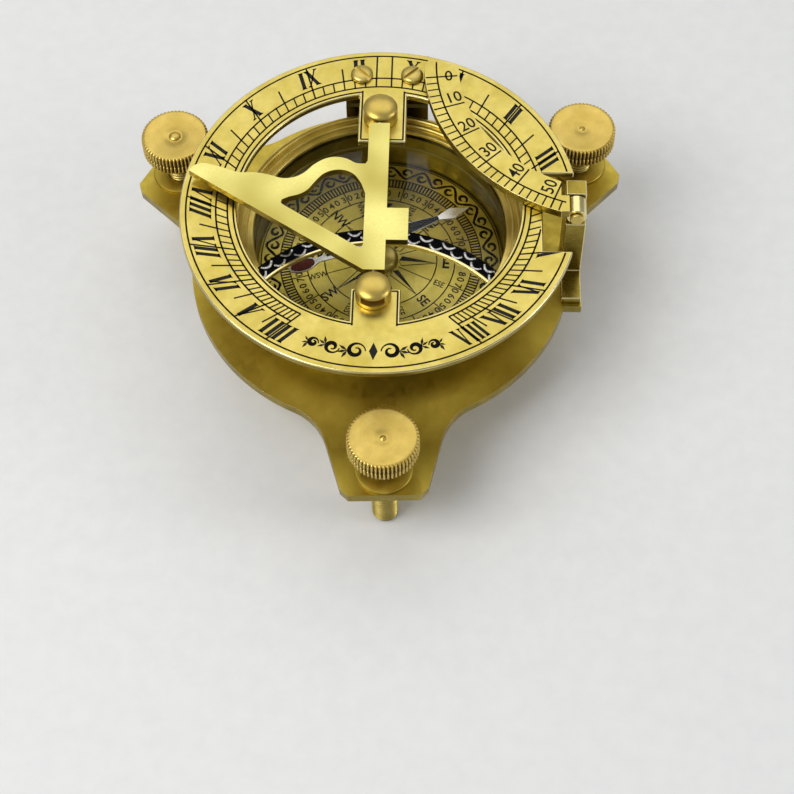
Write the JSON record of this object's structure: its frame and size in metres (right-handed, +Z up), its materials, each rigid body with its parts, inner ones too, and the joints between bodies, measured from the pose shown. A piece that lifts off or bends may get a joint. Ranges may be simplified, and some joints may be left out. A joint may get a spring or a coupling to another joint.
{
  "type": "sundial compass",
  "caption": "Folding equatorial pocket sundial over a dry-card compass, on a lobed plate with levelling screws, a tilting hour ring, a hinged gnomon and a latitude arc.",
  "frame": {"origin": "centre of the base plate's underside, on the compass axis", "axes": "+Z up; +Y north, towards the hour ring's hinge and its XII; +X east, towards the latitude arc's bracket"},
  "size_m": [0.0978, 0.092, 0.0403],
  "materials": {
    "satin_brass": "satin, with brighter edges",
    "turned_brass": "turned",
    "bright_brass": "brushed, with engraving filled in black",
    "polished_brass": "polished",
    "card_brass": "printed dial on satin metal",
    "needle_steel": "polished",
    "pin_steel": "plain",
    "black_enamel": "gloss enamel",
    "clear_glass": "clear"
  },
  "bodies": {
    "base": {"base_plate": "satin_brass", "bush_front": "satin_brass", "bush_rear_left": "satin_brass", "bush_rear_right": "satin_brass", "bowl_screw_1": "turned_brass", "bowl_screw_2": "turned_brass", "bowl_screw_3": "turned_brass", "hinge_screw_1": "turned_brass", "hinge_screw_2": "turned_brass", "arc_bracket_screw": "turned_brass", "compass_bowl": "satin_brass", "compass_card": "card_brass", "compass_glass": "clear_glass", "compass_bezel": "turned_brass", "needle_pivot": "turned_brass", "hinge_block": "satin_brass", "hinge_pin": "pin_steel", "arc_bracket": "satin_brass", "arc_pin": "pin_steel"},
    "ring": {"hour_ring": "bright_brass", "hinge_leaf": "satin_brass", "leaf_screw_east": "turned_brass", "leaf_screw_west": "turned_brass", "post_north": "turned_brass", "post_south": "turned_brass", "stop_strip": "black_enamel", "strip_post_east": "turned_brass", "strip_post_west": "turned_brass"},
    "gnomon": {"gnomon": "polished_brass", "trunnion_north": "turned_brass", "trunnion_south": "turned_brass"},
    "arc": {"latitude_arc": "bright_brass"},
    "needle": {"compass_needle": "needle_steel", "needle_cap": "turned_brass"},
    "stem_front": {"screw_front": "turned_brass"},
    "stem_rear_left": {"screw_rear_left": "turned_brass"},
    "stem_rear_right": {"screw_rear_right": "turned_brass"},
    "head_front": {"knob_front": "turned_brass"},
    "head_rear_left": {"knob_rear_left": "turned_brass"},
    "head_rear_right": {"knob_rear_right": "turned_brass"}
  },
  "joints": [
    {"name": "arc_raise", "type": "hinge", "parent": "base", "child": "arc", "pos_m": [0.0374, 0, 0.02115], "axis": [0, 1, 0], "range_deg": [0, 90]},
    {"name": "ring_tilt", "type": "hinge", "parent": "base", "child": "ring", "pos_m": [0.00055, 0.0314, 0.0162], "axis": [-1, 0, 0], "range_deg": [0, 16]},
    {"name": "gnomon_raise", "type": "hinge", "parent": "ring", "child": "gnomon", "pos_m": [-0.0004, 0, 0.0232], "axis": [0, 1, 0], "range_deg": [0, 90]},
    {"name": "needle_turn", "type": "hinge", "parent": "base", "child": "needle", "pos_m": [0, 0, 0.0096], "axis": [0, 0, 1], "continuous": true},
    {"name": "travel_front", "type": "slide", "parent": "base", "child": "stem_front", "axis": [0, 0, 1], "range_m": [-0.0025, 0.0025]},
    {"name": "travel_rear_left", "type": "slide", "parent": "base", "child": "stem_rear_left", "axis": [0, 0, 1], "range_m": [-0.0025, 0.0025]},
    {"name": "travel_rear_right", "type": "slide", "parent": "base", "child": "stem_rear_right", "axis": [0, 0, 1], "range_m": [-0.0025, 0.0025]},
    {"name": "turn_front", "type": "hinge", "parent": "stem_front", "child": "head_front", "pos_m": [0.00205, -0.04696, 0.002], "axis": [0, 0, 1], "range_deg": [-1080, 1080]},
    {"name": "turn_rear_left", "type": "hinge", "parent": "stem_rear_left", "child": "head_rear_left", "pos_m": [-0.04169, 0.0217, 0.002], "axis": [0, 0, 1], "range_deg": [-1080, 1080]},
    {"name": "turn_rear_right", "type": "hinge", "parent": "stem_rear_right", "child": "head_rear_right", "pos_m": [0.03964, 0.02525, 0.002], "axis": [0, 0, 1], "range_deg": [-1080, 1080]}
  ],
  "couplings": [
    {"joint": "ring_tilt", "follows": "arc_raise", "ratio": 0.17},
    {"joint": "travel_front", "follows": "turn_front", "m_per_rad": 0.00012732},
    {"joint": "travel_rear_left", "follows": "turn_rear_left", "m_per_rad": 0.00012732},
    {"joint": "travel_rear_right", "follows": "turn_rear_right", "m_per_rad": 0.00012732}
  ]
}
